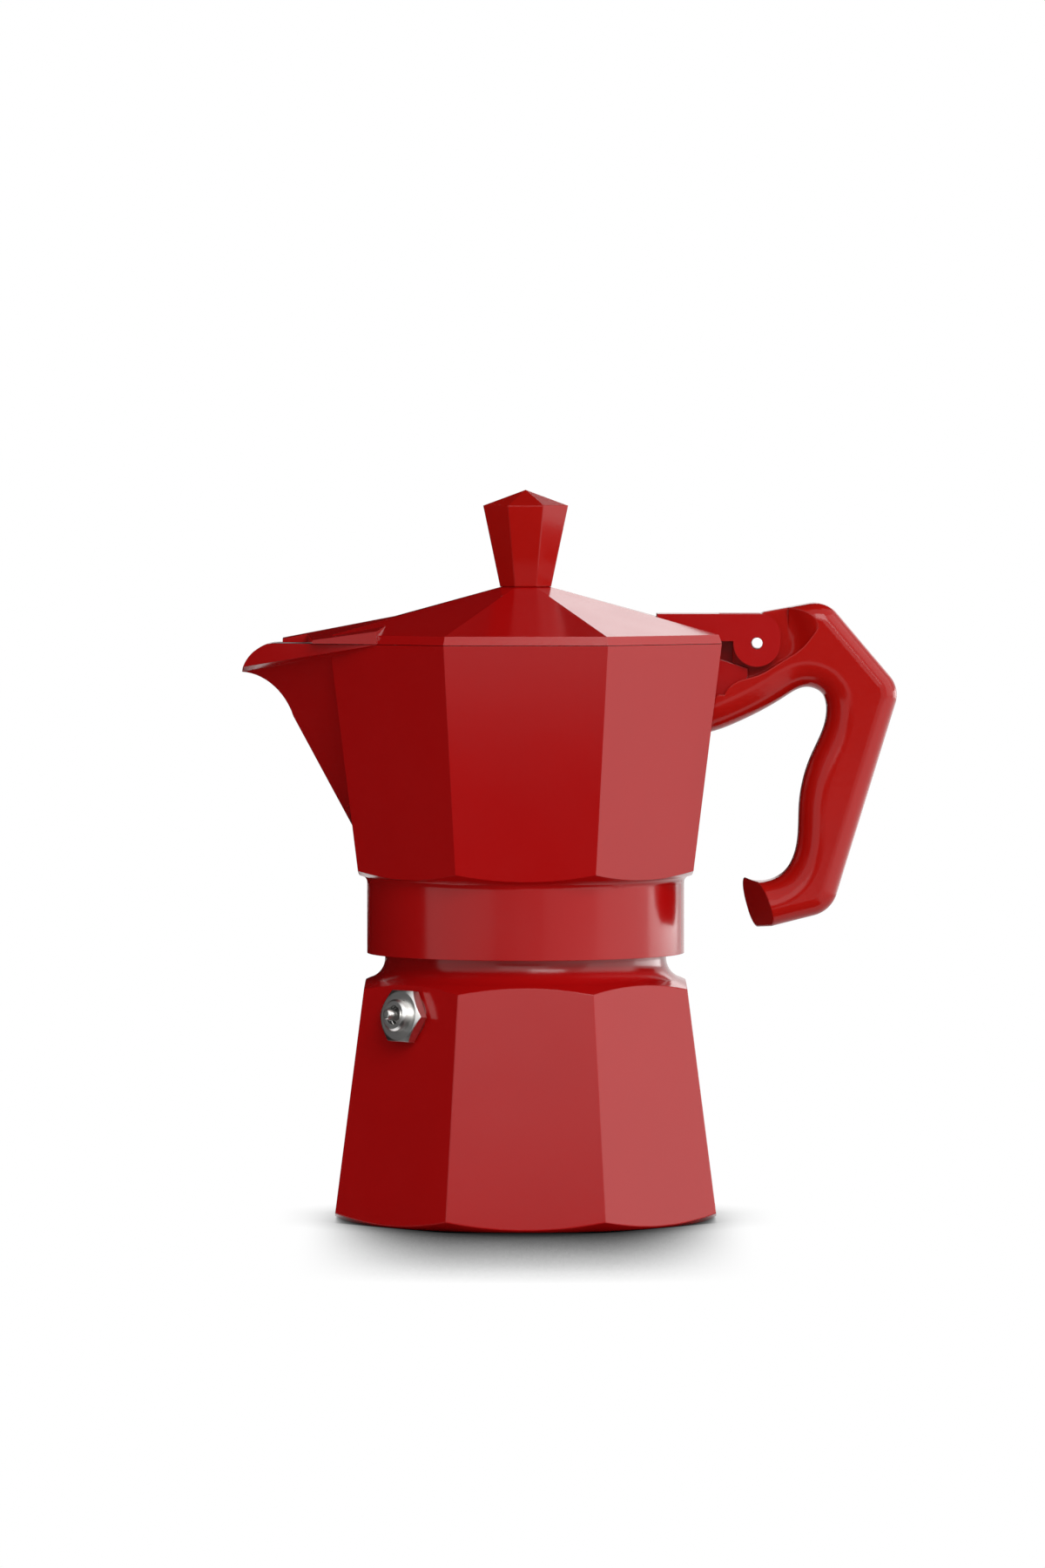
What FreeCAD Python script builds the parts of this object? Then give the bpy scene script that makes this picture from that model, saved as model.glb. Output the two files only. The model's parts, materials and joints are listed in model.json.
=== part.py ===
import FreeCAD
import Part
import math
import os

# Moka pot in millimetres and degrees. The pot's axis is Z and it stands on Z = 0.
# The spout points to -X, the handle to +X, and the safety valve sits on the (-X, -Y) facet.

# Boiler: an octagonal casting, turned at its foot, shoulder and neck
boiler_foot_apothem = 42.4
boiler_shoulder_apothem = 35.6
boiler_shoulder_height = 53.0
boiler_foot_radius = 41.5
boiler_foot_rise = 0.54
boiler_shoulder_fall = 0.45
boiler_shoulder_land = 0.8
boiler_wall = 3.2
boiler_floor = 3.5
boiler_inner_round = 6.0
foot_groove_radius = 37.0
foot_groove_width = 1.6
foot_groove_depth = 0.6

# Neck and the thread between the two halves
neck_radius = 31.3
neck_wall = 2.6
neck_fillet_height = 4.6
neck_fillet_sag = 1.0
neck_top = 68.0
thread_depth = 0.9
thread_pitch = 2.6
thread_turns = 2.0
thread_flank_share = 0.36
thread_clearance = 0.3

# Upper chamber: collar, octagonal collector and rim
collar_radius = 35.3
collar_wall = 1.9
collar_bottom = 59.0
collar_fillet = 1.7
chamber_bottom_height = 76.3
chamber_bottom_apothem = 36.9
chamber_bottom_rise = 0.47
chamber_rim_height = 128.0
chamber_rim_apothem = 43.25
chamber_wall = 2.2
chamber_floor = 4.8
chamber_hub_radius = 8.0
chamber_hub_rise = 3.5
chamber_inner_round = 3.0

# Spout: a V on the -X facet whose keel bends outwards to the lip
keel_foot_rise = 10.1
keel_bend_rise = 35.3
keel_lean = 28.3
crease_shift = 2.4
spout_tip_reach = 19.85
spout_tip_drop = 6.5
spout_lip_reach = 12.75
spout_lip_sag = 1.55
spout_wall_out = 1.9
spout_wall_up = 1.75
keel_curl_shares = [(0.26, 0.54), (0.61, 0.87)]

# Filter set and funnel
gasket_height = 3.8
gasket_width = 5.7
plate_radius = 29.5
plate_thickness = 0.8
plate_rise = 0.9
funnel_rim_thickness = 1.2
funnel_rim_width = 3.3
funnel_wall = 0.8
basket_depth = 21.5
basket_ledge = 1.6
funnel_cone_height = 13.0
tube_radius = 5.2
tube_end_height = 9.0
tube_overlap = 5.0
screen_thickness = 0.6
hole_diameter = 1.5
hole_pitch = 4.6
piece_clearance = 0.3
press_clearance = 0.03

# Column in the collector
column_bore_radius = 3.4
column_wall = 1.3
column_foot_radius = 6.6
column_height = 34.0
column_shank = 3.0
column_socket_gap = 0.2
outlet_width = 3.0
outlet_height = 5.0

# Lid and knob
lid_gap = 0.12
lid_band_height = 1.9
lid_band_inset = 0.65
lid_slope = 15.6
lid_wall = 1.8
lid_top_apothem = 5.2
tongue_root_reach = 27.0
tongue_corner_reach = 32.7
tongue_corner_width = 28.5
tongue_shoulder_reach = 47.0
tongue_shoulder_width = 20.0
tongue_nose_reach = 54.0
tongue_nose_width = 3.2
tongue_neck_reach = 48.5
tongue_ridge_height = 6.2
tongue_ridge_fall = 0.192
tongue_gable_fall = 0.081
knob_foot_apothem = 5.67
knob_top_apothem = 9.43
knob_side_height = 18.0
knob_point_height = 3.5
knob_screw_radius = 2.0
knob_screw_head_radius = 3.6
knob_screw_head_height = 2.4
knob_screw_grip = 7.0
knob_screw_dome = 0.48
knob_screw_slot_width = 1.0
knob_screw_slot_depth = 1.2
knob_washer_radius = 4.6
knob_washer_thickness = 0.8
knob_insert_radius = 3.2
knob_insert_height = 9.0

# Hinge: pin, ears of the lid and lug of the chamber, measured from the pin's centre
pin_reach = 7.95
pin_radius = 1.3
pin_proud = 0.2
pin_dome = 0.35
pin_running_clearance = 0.06
ear_outer_width = 9.0
ear_inner_width = 5.3
ear_radius = 5.2
ear_top_rise = 6.5
ear_top_round = 4.5
ear_step_rise = 0.5
ear_web_reach = 8.2
tab_root_reach = 22.0
lug_radius = 4.2
lug_half_width = 2.5
lug_root_half_width = 7.0
lug_fit_clearance = 0.08
lug_foot = (-6.2, -12.8)
lug_nose_low = (-2.0, -7.5)
lug_nose_high = (-2.0, -5.6)
lug_step = (-7.9, -3.7)
lug_web_foot_drop = 11.5
lug_web_elbow = (-5.2, -8.5)

# Handle: a moulded grip, outline points measured from the pin's centre
handle_half_width = 9.5
handle_outer_round = 3.8
handle_inner_round = 5.8
handle_crown_round = 6.0
handle_elbow_round = 6.5
handle_heel_round = 7.0
handle_gap = 0.12
handle_end_turn = 14.0
handle_front_top = (1.8, 6.9)
handle_crown = (15.5, 9.4)
handle_elbow = (31.9, -10.0)
handle_heel = (16.7, -59.5)
handle_tail = (-0.3, -63.8)
handle_hook = (-3.9, -51.3)
handle_inner_points = [
    (0.8, -53.1), (6.2, -51.2), (9.1, -45.4), (9.7, -36.1), (12.4, -25.1),
    (15.7, -16.5), (14.7, -11.3), (11.4, -9.8), (6.3, -12.0), (-3.9, -17.5),
]
handle_front_foot = (-10.6, -19.9)
handle_front_lip = (-9.2, -12.0)
handle_front_cheek = (-5.4, -8.0)
handle_front_brow = (-5.2, 2.5)
recess_lip_points = [
    (-7.2, -11.4), (-4.6, -8.6), (0.2, -7.1), (5.4, -4.1), (9.8, -1.2), (12.8, 2.4),
    (15.6, 6.6),
]
recess_floor_radius = 7.2
recess_brim_radius = 15.4
recess_scoop_steps = 6

# Safety valve, measured outwards from the facet along its own axis
valve_height = 46.2
valve_hex_flats = 11.2
valve_washer_thickness = 0.7
valve_washer_radius = 5.4
valve_hex_top = 3.1
valve_hex_chamfer = 0.5
valve_crown_fall = 0.5
valve_nose_radius = 3.55
valve_nose_top = 4.8
valve_shank_radius = 4.0
valve_shank_depth = 6.0
valve_bore_radius = 2.7
valve_lip_thickness = 0.7
valve_lip_radius = 2.15
valve_seat_thickness = 1.2
valve_seat_hole_radius = 1.3
piston_stem_radius = 1.15
piston_head_top = 6.9
piston_tip_round = 0.46
piston_flange_radius = 2.4
piston_flange_thickness = 0.8
seal_thickness = 0.7
spring_wire_radius = 0.25
spring_turns = 6
spring_end_clearance = 0.05
spring_bore_clearance = 0.15

# Values worked out from the driving dimensions
turning_reach = 1.2
join_tolerance = 1e-5
quarter_sag = 1.0 - math.sqrt(0.5)
half_facet = math.tan(math.radians(22.5))
corner_ratio = 1.0 / math.cos(math.radians(22.5))
boiler_slope = (boiler_foot_apothem - boiler_shoulder_apothem) / boiler_shoulder_height
chamber_height = chamber_rim_height - chamber_bottom_height
chamber_slope = (chamber_rim_apothem - chamber_bottom_apothem) / chamber_height
neck_bore = neck_radius - neck_wall
collar_bore = collar_radius - collar_wall
gasket_bottom = neck_top + funnel_rim_thickness
gasket_top = gasket_bottom + gasket_height
gasket_radius = collar_bore - thread_depth - 2 * piece_clearance
gasket_bore = gasket_radius - gasket_width
ceiling_height = gasket_top + plate_thickness + plate_rise
floor_height = ceiling_height + chamber_floor
hub_height = floor_height + chamber_hub_rise
column_radius = column_bore_radius + column_wall
lid_bottom = chamber_rim_height + lid_gap
lid_band_top = lid_bottom + lid_band_height
lid_band_apothem = chamber_rim_apothem - lid_band_inset
lid_rise = math.tan(math.radians(lid_slope))
lid_top = lid_band_top + (lid_band_apothem - lid_top_apothem) * lid_rise
lid_under = lid_top - lid_wall / math.cos(math.radians(lid_slope))
pin_x = chamber_rim_apothem + pin_reach
pin_z = chamber_rim_height
far = 2.0 * (boiler_foot_apothem + chamber_rim_apothem)


def spot(x, z, y=0.0):
    return FreeCAD.Vector(x, y, z)


def from_pin(offset):
    return (pin_x + offset[0], pin_z + offset[1])


def bow(start, end, sag):
    """Arc step from start to end that stands off its chord by sag, to the left of travel."""
    across = end[0] - start[0]
    rise = end[1] - start[1]
    length = math.hypot(across, rise)
    middle_x = (start[0] + end[0]) / 2 - sag * rise / length
    middle_z = (start[1] + end[1]) / 2 + sag * across / length
    return ((middle_x, middle_z), end)


def curve(points):
    spline = Part.BSplineCurve()
    spline.interpolate([spot(x, z) for x, z in points])
    return spline.toShape()


def outline(start, *steps):
    """Closed face in the XZ plane from points, (middle, end) arcs and ready-made edges."""
    edges = []
    here = start
    for step in steps:
        if isinstance(step, Part.Shape):
            edges.append(step)
            end = step.lastVertex(True).Point
            here = (end.x, end.z)
        elif isinstance(step[0], tuple):
            middle, end = step
            edges.append(Part.Arc(spot(*here), spot(*middle), spot(*end)).toShape())
            here = end
        else:
            edges.append(Part.makeLine(spot(*here), spot(*step)))
            here = step
    if spot(*here).distanceToPoint(spot(*start)) > 1e-6:
        edges.append(Part.makeLine(spot(*here), spot(*start)))
    return Part.Face(Part.Wire(Part.__sortEdges__(edges)))


def turned(start, *steps):
    return outline(start, *steps).revolve(spot(0, 0), spot(0, 1), 360)


def slab(face, near, distant):
    """Solid of an XZ outline between two places on Y."""
    moved = face.translated(FreeCAD.Vector(0, near, 0))
    return moved.extrude(FreeCAD.Vector(0, distant - near, 0))


def both_sides(solid):
    return solid.fuse(solid.mirror(spot(0, 0), FreeCAD.Vector(0, 1, 0)))


def octagon(apothem, height):
    corners = []
    for step in range(9):
        angle = math.radians(22.5 + 45 * step)
        radius = apothem * corner_ratio
        corners.append(FreeCAD.Vector(radius * math.cos(angle), radius * math.sin(angle), height))
    return Part.makePolygon(corners)


def frustum(low_apothem, low, high_apothem, high):
    return Part.makeLoft([octagon(low_apothem, low), octagon(high_apothem, high)], True, True)


def cylinder(radius, low, high):
    return Part.makeCylinder(radius, high - low, spot(0, low))


def cross_pin(radius, x, z, half_length):
    return Part.makeCylinder(radius, 2 * half_length, spot(x, z, -half_length), FreeCAD.Vector(0, 1, 0))


def thread_ridge(root, crest, low):
    """Helical ridge of triangular section, sunk a little into the wall that carries it."""
    inward = 1.0 if crest > root else -1.0
    base = root - inward * thread_clearance
    half = thread_flank_share * thread_pitch
    section = Part.makePolygon([
        spot(base, low - half), spot(crest, low), spot(base, low + half), spot(base, low - half),
    ])
    helix = Part.makeHelix(thread_pitch, thread_pitch * thread_turns, root)
    helix.translate(spot(0, low))
    return Part.Wire(helix).makePipeShell([section], True, True)


def perforated(radius, low, thickness):
    """Disc with round holes on a triangular grid."""
    holes = []
    rows = int(radius / hole_pitch) + 1
    for row in range(-rows, rows + 1):
        for column in range(-2 * rows, 2 * rows + 1):
            x = hole_pitch * (column + row / 2.0)
            y = hole_pitch * row * math.sqrt(3) / 2
            if math.hypot(x, y) < radius - hole_pitch:
                hole = Part.makeCylinder(hole_diameter / 2, thickness, FreeCAD.Vector(x, y, low))
                holes.append(hole)
    return cylinder(radius, low, low + thickness).cut(Part.makeCompound(holes))


# Boiler
def boiler_apothem(height):
    return boiler_foot_apothem - boiler_slope * height


def make_boiler():
    shoulder_edge = (
        boiler_shoulder_apothem - boiler_shoulder_land,
        boiler_shoulder_height + boiler_shoulder_land * boiler_shoulder_fall,
    )
    neck_start = (neck_radius, shoulder_edge[1] + neck_fillet_height)
    corner_reach = boiler_foot_apothem * corner_ratio * turning_reach
    outer = turned(
        (0, 0),
        (boiler_foot_radius, 0),
        (corner_reach, (corner_reach - boiler_foot_radius) * boiler_foot_rise),
        (corner_reach, shoulder_edge[1] - (corner_reach - shoulder_edge[0]) * boiler_shoulder_fall),
        shoulder_edge,
        bow(shoulder_edge, neck_start, neck_fillet_sag),
        (neck_radius, neck_top),
        (0, neck_top),
    )
    body = frustum(boiler_foot_apothem, 0, boiler_apothem(neck_top), neck_top).common(outer)
    floor_radius = boiler_apothem(boiler_floor) - boiler_wall
    round_end = (floor_radius, boiler_floor + boiler_inner_round)
    round_start = (floor_radius - boiler_inner_round, boiler_floor)
    round_sag = -boiler_inner_round * quarter_sag
    shoulder_inside = boiler_shoulder_height - boiler_wall
    cavity = turned(
        (0, boiler_floor),
        round_start,
        bow(round_start, round_end, round_sag),
        (boiler_apothem(shoulder_inside) - boiler_wall, shoulder_inside),
        (neck_bore, neck_start[1]),
        (neck_bore, neck_top),
        (0, neck_top),
    )
    groove = cylinder(foot_groove_radius, 0, foot_groove_depth)
    groove = groove.cut(cylinder(foot_groove_radius - foot_groove_width, 0, foot_groove_depth))
    ridge = thread_ridge(neck_radius, neck_radius + thread_depth, collar_bottom + thread_pitch)
    valve_hole = on_valve_axis(Part.makeCylinder(
        valve_shank_radius + press_clearance, 2 * valve_shank_depth, spot(0, -valve_shank_depth)))
    return body.fuse(ridge).cut(cavity).cut(groove).cut(valve_hole)


# Safety valve: every piece is turned about Z and then set on the facet
def on_valve_axis(shape):
    lean = math.degrees(math.atan(boiler_slope))
    outwards = FreeCAD.Rotation(FreeCAD.Vector(0, 1, 0), 90 - lean)
    facing = FreeCAD.Rotation(spot(0, 1), -135).multiply(outwards)
    apothem = boiler_apothem(valve_height)
    place = FreeCAD.Vector(-apothem * math.sqrt(0.5), -apothem * math.sqrt(0.5), valve_height)
    moved = shape.copy()
    moved.Placement = FreeCAD.Placement(place, facing)
    return moved


def make_valve_body():
    corners = []
    for step in range(7):
        angle = math.radians(60 * step + 30)
        radius = valve_hex_flats / 2 / math.cos(math.radians(30))
        corners.append(FreeCAD.Vector(radius * math.cos(angle), radius * math.sin(angle), 0))
    hex_height = valve_hex_top - valve_washer_thickness
    hexagon = Part.Face(Part.makePolygon(corners)).extrude(spot(0, hex_height))
    hexagon.translate(spot(0, valve_washer_thickness))
    flat_radius = valve_hex_flats / 2
    reach = valve_hex_flats
    crown = turned(
        (0, valve_washer_thickness),
        (reach, valve_washer_thickness),
        (reach, valve_hex_top - valve_hex_chamfer - (reach - flat_radius) * valve_crown_fall),
        (flat_radius - valve_hex_chamfer / 2, valve_hex_top),
        (0, valve_hex_top),
    )
    barrel = turned(
        (0, -valve_shank_depth),
        (valve_shank_radius, -valve_shank_depth),
        (valve_shank_radius, valve_washer_thickness),
        (valve_nose_radius, valve_washer_thickness),
        (valve_nose_radius, valve_nose_top - valve_hex_chamfer),
        (valve_nose_radius - valve_hex_chamfer, valve_nose_top),
        (0, valve_nose_top),
    )
    bore = cylinder(valve_bore_radius, -valve_shank_depth, valve_nose_top - valve_lip_thickness)
    mouth = cylinder(valve_lip_radius, 0, valve_nose_top)
    return on_valve_axis(hexagon.common(crown).fuse(barrel).cut(bore).cut(mouth).removeSplitter())


def make_valve_washer():
    ring = cylinder(valve_washer_radius, 0, valve_washer_thickness)
    return on_valve_axis(ring.cut(cylinder(valve_shank_radius + press_clearance, 0, valve_washer_thickness)))


def make_valve_seat():
    top = valve_seat_thickness - valve_shank_depth
    ring = cylinder(valve_bore_radius - press_clearance, -valve_shank_depth, top)
    return on_valve_axis(ring.cut(cylinder(valve_seat_hole_radius, -valve_shank_depth, top)))


def piston_flange_bottom():
    return valve_seat_thickness + seal_thickness - valve_shank_depth


def make_valve_seal():
    low = piston_flange_bottom() - seal_thickness
    ring = cylinder(piston_flange_radius - piece_clearance, low, piston_flange_bottom())
    return on_valve_axis(ring.cut(cylinder(valve_seat_hole_radius, low, piston_flange_bottom())))


def make_valve_piston():
    low = piston_flange_bottom()
    stem_start = (piston_stem_radius, piston_head_top - piston_tip_round)
    stem_end = (piston_stem_radius - piston_tip_round, piston_head_top)
    solid = turned(
        (0, low - seal_thickness),
        (valve_seat_hole_radius - piece_clearance, low - seal_thickness),
        (valve_seat_hole_radius - piece_clearance, low),
        (piston_flange_radius, low),
        (piston_flange_radius, low + piston_flange_thickness),
        (piston_stem_radius, low + piston_flange_thickness),
        stem_start,
        bow(stem_start, stem_end, -piston_tip_round * quarter_sag),
        (0, piston_head_top),
    )
    return on_valve_axis(solid)


def make_valve_spring():
    """One wire wound in quarter-turn arcs, with its least gap to itself measured and printed."""
    low = piston_flange_bottom() + piston_flange_thickness + spring_wire_radius + spring_end_clearance
    high = valve_nose_top - valve_lip_thickness - spring_wire_radius - spring_end_clearance
    coil_radius = valve_bore_radius - spring_wire_radius - spring_bore_clearance
    pitch = (high - low) / spring_turns
    arcs_per_turn = 4
    samples_per_turn = 24
    edges = []
    samples = []

    def on_coil(turns):
        angle = 2 * math.pi * turns
        across = coil_radius * math.cos(angle)
        aside = coil_radius * math.sin(angle)
        return FreeCAD.Vector(across, aside, low + pitch * turns)

    for step in range(arcs_per_turn * spring_turns):
        first = on_coil(step / arcs_per_turn)
        middle = on_coil((step + 0.5) / arcs_per_turn)
        last = on_coil((step + 1) / arcs_per_turn)
        edges.append(Part.Arc(first, middle, last).toShape())
    for step in range(samples_per_turn * spring_turns + 1):
        samples.append(on_coil(step / samples_per_turn))
    least = min(
        samples[one].distanceToPoint(samples[two])
        for one in range(len(samples))
        for two in range(one + samples_per_turn // 2, len(samples))
    )
    print("valve_spring least gap to itself, mm:", round(least - 2 * spring_wire_radius, 3))
    start = on_coil(0)
    ring = Part.Wire(Part.Circle(start, FreeCAD.Vector(0, 1, 0), spring_wire_radius).toShape())
    return on_valve_axis(Part.Wire(edges).makePipeShell([ring], True, False))


# Funnel, gasket and filter plate
basket_radius = neck_bore - piece_clearance
basket_bottom = neck_top - basket_depth
cone_bottom = basket_bottom - funnel_cone_height
tube_bore = tube_radius - funnel_wall


def make_funnel():
    inner = basket_radius - funnel_wall
    rim_radius = basket_radius + funnel_rim_width - 2 * piece_clearance
    shell = turned(
        (inner, neck_top + funnel_rim_thickness),
        (rim_radius, neck_top + funnel_rim_thickness),
        (rim_radius, neck_top),
        (basket_radius, neck_top),
        (basket_radius, basket_bottom),
        (tube_radius + funnel_wall, cone_bottom),
        (tube_radius + funnel_wall, cone_bottom - tube_overlap),
        (tube_radius + press_clearance, cone_bottom - tube_overlap),
        (tube_radius + press_clearance, cone_bottom),
        (inner - basket_ledge, basket_bottom),
        (inner, basket_bottom),
    )
    return shell


def make_funnel_tube():
    tube = cylinder(tube_radius, tube_end_height, cone_bottom)
    return tube.cut(cylinder(tube_bore, tube_end_height, cone_bottom))


def make_funnel_screen():
    return perforated(basket_radius - funnel_wall - piece_clearance / 2, basket_bottom, screen_thickness)


def make_gasket():
    ring = cylinder(gasket_radius, gasket_bottom, gasket_top)
    return ring.cut(cylinder(gasket_bore, gasket_bottom, gasket_top))


def make_filter_plate():
    return perforated(plate_radius, gasket_top, plate_thickness)


# Upper chamber with its collar, spout and lug
def chamber_apothem(height):
    return chamber_rim_apothem - chamber_slope * (chamber_rim_height - height)


def spout_half(shift_out, shift_up, inset, top):
    """Front half of the spout as a solid, moved inwards for the channel."""
    foot_height = chamber_bottom_height + keel_foot_rise
    bend_height = chamber_bottom_height + keel_bend_rise
    foot_apothem = chamber_apothem(foot_height)
    bend_reach = foot_apothem + (bend_height - foot_height) * math.tan(math.radians(keel_lean))
    tip_x = -(chamber_rim_apothem + spout_tip_reach)
    tip_z = chamber_rim_height - spout_tip_drop
    keel_foot = (-foot_apothem + shift_out, foot_height + shift_up)
    keel_bend = (-bend_reach + shift_out, bend_height + shift_up)
    keel_tip = (tip_x + shift_out, tip_z + shift_up)
    span_x = keel_tip[0] - keel_bend[0]
    span_z = keel_tip[1] - keel_bend[1]
    curl = [(keel_bend[0] + out * span_x, keel_bend[1] + up * span_z) for out, up in keel_curl_shares]
    beyond = keel_tip[0] - spout_tip_drop
    root = (-chamber_rim_apothem / 2, top)
    profile = outline(
        keel_bend,
        curve([keel_bend] + curl + [keel_tip]),
        (beyond, keel_tip[1]),
        (beyond, top),
        root,
    )
    along = (chamber_rim_apothem - inset) * math.sqrt(0.5)
    crease = crease_shift * math.sqrt(0.5)
    crease_top = FreeCAD.Vector(-along - crease, -along + crease, top)
    corner_apothem = foot_apothem - inset
    crease_foot = FreeCAD.Vector(-corner_apothem, -corner_apothem * half_facet, keel_foot[1])
    inner_foot = spot(root[0], keel_foot[1])
    low_side = Part.makePolygon([spot(*keel_foot), crease_foot, inner_foot, spot(*keel_foot)])
    high_side = Part.makePolygon([spot(*keel_bend), crease_top, spot(*root), spot(*keel_bend)])
    flank = Part.makeLoft([low_side, high_side], True, True)
    beak = Part.makeLoft([Part.Vertex(crease_top), profile.OuterWire], True, True)
    return flank.fuse(beak)


def make_spout_cut():
    """Space above the drooping lip of the spout."""
    lip = (-(chamber_rim_apothem + spout_lip_reach), chamber_rim_height)
    tip = (-(chamber_rim_apothem + spout_tip_reach), chamber_rim_height - spout_tip_drop)
    face = outline(lip, bow(lip, tip, -spout_lip_sag), (-far, tip[1]), (-far, far * 2), (lip[0], far * 2))
    return slab(face, -far, far)


def make_lug(clearance):
    """Hinge lug of the chamber; the clearance makes it the space that the handle leaves for it."""
    root = chamber_apothem(pin_z + lug_foot[1] - chamber_wall) - chamber_wall / 2
    foot = from_pin(lug_foot)
    nose_low = from_pin(lug_nose_low)
    nose_high = from_pin(lug_nose_high)
    step = from_pin(lug_step)
    elbow = from_pin(lug_web_elbow)
    wide = outline(
        (root, foot[1] - clearance),
        (foot[0], foot[1] - clearance),
        (nose_low[0] + clearance, nose_low[1] - clearance),
        (nose_high[0] + clearance, nose_high[1] + clearance),
        (step[0], step[1] + clearance),
        (root, step[1] + clearance),
    )
    reach = lug_radius + clearance
    top = pin_z + ear_step_rise - lid_gap
    beside_lid = chamber_rim_apothem + piece_clearance
    narrow = outline(
        (root, pin_z - lug_web_foot_drop),
        (elbow[0], elbow[1] - clearance),
        (pin_x, pin_z - reach),
        (pin_x, top + clearance),
        (beside_lid, top + clearance),
        (beside_lid, pin_z - lid_gap),
        (root, pin_z - lid_gap),
    )
    wide_half = lug_root_half_width + clearance
    narrow_half = lug_half_width + clearance
    lug = slab(wide, -wide_half, wide_half)
    lug = lug.fuse(slab(narrow, -narrow_half, narrow_half))
    return lug.fuse(cross_pin(reach, pin_x, pin_z, narrow_half))


def make_upper_chamber():
    low = chamber_bottom_height - collar_fillet
    start = (collar_radius, low)
    end = (chamber_bottom_apothem, chamber_bottom_height)
    reach = chamber_rim_apothem * corner_ratio * turning_reach
    outer = turned(
        (0, low),
        start,
        bow(start, end, collar_fillet * quarter_sag),
        (reach, chamber_bottom_height + (reach - chamber_bottom_apothem) * chamber_bottom_rise),
        (reach, chamber_rim_height),
        (0, chamber_rim_height),
    )
    body = frustum(chamber_apothem(low), low, chamber_rim_apothem, chamber_rim_height).common(outer)
    body = body.fuse(cylinder(collar_radius, collar_bottom, low))
    near_half = spout_half(0, 0, 0, chamber_rim_height)
    far_half = near_half.mirror(spot(0, 0), FreeCAD.Vector(0, 1, 0))
    body = body.fuse((near_half, far_half), join_tolerance).fuse(make_lug(0))
    above = lid_bottom
    floor_apothem = chamber_apothem(floor_height) - chamber_wall
    cavity = frustum(floor_apothem, floor_height, chamber_apothem(above) - chamber_wall, above)
    hub = turned(
        (0, floor_height),
        (floor_apothem - chamber_inner_round, floor_height),
        (chamber_hub_radius, hub_height),
        (0, hub_height),
    )
    channel = both_sides(spout_half(spout_wall_out, spout_wall_up, chamber_wall, above))
    body = body.cut(cavity.cut(hub)).cut(channel).cut(make_spout_cut())
    seat_radius = gasket_radius + piece_clearance
    plate_bore = plate_radius + piece_clearance
    bore_radius = column_radius + press_clearance
    underside = turned(
        (0, collar_bottom),
        (collar_bore, collar_bottom),
        (collar_bore, gasket_bottom - piece_clearance),
        (seat_radius, gasket_bottom - piece_clearance),
        (seat_radius, gasket_top),
        (plate_bore, gasket_top),
        (plate_bore, ceiling_height),
        (bore_radius, hub_height - column_shank - column_socket_gap),
        (bore_radius, hub_height),
        (0, hub_height),
    )
    body = body.cut(underside)
    crest = collar_bore - thread_depth + thread_clearance
    ridge = thread_ridge(collar_bore, crest, collar_bottom + thread_pitch)
    body = body.fuse(ridge)
    return body.cut(cross_pin(pin_radius + press_clearance, pin_x, pin_z, lug_half_width))


def make_column():
    top = hub_height + column_height
    outer = turned(
        (0, hub_height - column_shank),
        (column_radius, hub_height - column_shank),
        (column_radius, hub_height),
        (column_foot_radius, hub_height),
        (column_radius, top - column_wall),
        (column_radius - column_wall, top),
        (0, top),
    )
    bore = cylinder(column_bore_radius, hub_height - column_shank, top - column_wall)
    outlet = Part.makeBox(
        outlet_width, 4 * column_radius, outlet_height,
        FreeCAD.Vector(-outlet_width / 2, -2 * column_radius, top - column_wall - outlet_height))
    return outer.cut(bore).cut(outlet)


# Lid, knob and what holds the knob
def tongue_roof(drop):
    """Space under the gabled roof of the tongue."""
    sections = []
    for reach in (0.0, -far):
        ridge = lid_bottom + tongue_ridge_height - drop + (reach + tongue_root_reach) * tongue_ridge_fall
        eaves = ridge - far * tongue_gable_fall
        ground = lid_bottom - far
        sections.append(Part.makePolygon([
            FreeCAD.Vector(reach, -far, ground), FreeCAD.Vector(reach, -far, eaves),
            FreeCAD.Vector(reach, 0, ridge), FreeCAD.Vector(reach, far, eaves),
            FreeCAD.Vector(reach, far, ground), FreeCAD.Vector(reach, -far, ground),
        ]))
    return Part.makeLoft(sections, True, True)


def tongue_block(inset, low):
    """Tongue over the spout, as a plan outline raised to its roof."""
    half = [
        (-tongue_root_reach + inset, 0),
        (-tongue_corner_reach + inset, tongue_corner_width - inset),
        (-tongue_shoulder_reach + inset, tongue_shoulder_width - inset),
        (-tongue_neck_reach + inset, tongue_nose_width - inset / 2),
        (-tongue_nose_reach + inset, tongue_nose_width - inset / 2),
    ]
    plan = half + [(x, -y) for x, y in reversed(half[1:])]
    corners = [FreeCAD.Vector(x, y, low) for x, y in plan]
    wire = Part.makePolygon(corners + corners[:1])
    return Part.Face(wire).extrude(spot(0, far)).common(tongue_roof(inset))


def make_ear_outline():
    right = pin_x + ear_radius
    left = pin_x - ear_radius
    top = pin_z + ear_top_rise
    round_start = (right - ear_top_round, top)
    round_end = (right, top - ear_top_round)
    web = pin_x - ear_web_reach
    return outline(
        (web - lid_wall, top),
        round_start,
        bow(round_start, round_end, ear_top_round * quarter_sag),
        (right, pin_z),
        ((pin_x, pin_z - ear_radius), (left, pin_z)),
        (left, pin_z + ear_step_rise),
        (web - lid_wall, pin_z + ear_step_rise),
    )


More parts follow.
